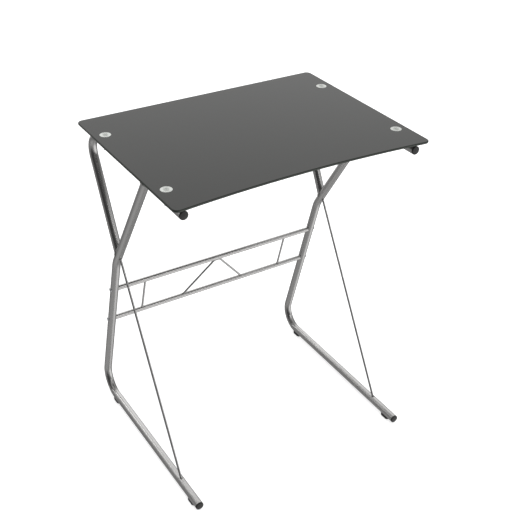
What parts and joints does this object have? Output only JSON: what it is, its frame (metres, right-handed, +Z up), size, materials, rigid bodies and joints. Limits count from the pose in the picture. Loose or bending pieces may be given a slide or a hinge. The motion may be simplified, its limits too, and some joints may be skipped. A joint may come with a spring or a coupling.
{
  "type": "computer desk",
  "caption": "Compact desk with a black glass top, bowed in at the front, on two bent-tube side frames joined by a wire-strutted rear cross brace.",
  "frame": {"origin": "on the floor, in the middle of the footprint of the two feet", "axes": "+X to the sitter's right, +Y from the front edge to the back, +Z up"},
  "size_m": [0.6, 0.4886, 0.75],
  "materials": {
    "black_glass": "tempered, painted black on the underside, polished",
    "silver_tube": "satin silver, clear-coated",
    "silver_wire": "satin silver",
    "bright_disc": "spun",
    "black_plastic": "moulded, fine texture",
    "zinc_steel": "zinc plated"
  },
  "bodies": {
    "root": {"centre_strut": "silver_wire", "disc_front_left": "bright_disc", "disc_front_right": "bright_disc", "disc_rear_left": "bright_disc", "disc_rear_right": "bright_disc", "end_strut_left": "silver_wire", "end_strut_right": "silver_wire", "foot_plug_left": "black_plastic", "foot_plug_right": "black_plastic", "glass_top": "black_glass", "glide_front_left": "black_plastic", "glide_front_right": "black_plastic", "glide_rear_left": "black_plastic", "glide_rear_right": "black_plastic", "leg_and_foot_left": "silver_tube", "leg_and_foot_right": "silver_tube", "lower_brace": "silver_tube", "lower_brace_bolt_left": "zinc_steel", "lower_brace_bolt_right": "zinc_steel", "lower_brace_insert_left": "zinc_steel", "lower_brace_insert_right": "zinc_steel", "rail_and_stay_left": "silver_tube", "rail_and_stay_right": "silver_tube", "rail_plug_left": "black_plastic", "rail_plug_right": "black_plastic", "rod_left": "silver_wire", "rod_right": "silver_wire", "saddle_pad_front_left": "black_plastic", "saddle_pad_front_right": "black_plastic", "saddle_pad_rear_left": "black_plastic", "saddle_pad_rear_right": "black_plastic", "top_bolt_front_left": "zinc_steel", "top_bolt_front_right": "zinc_steel", "top_bolt_rear_left": "zinc_steel", "top_bolt_rear_right": "zinc_steel", "upper_brace": "silver_tube", "upper_brace_bolt_left": "zinc_steel", "upper_brace_bolt_right": "zinc_steel", "upper_brace_insert_left": "zinc_steel", "upper_brace_insert_right": "zinc_steel"}
  },
  "joints": []
}
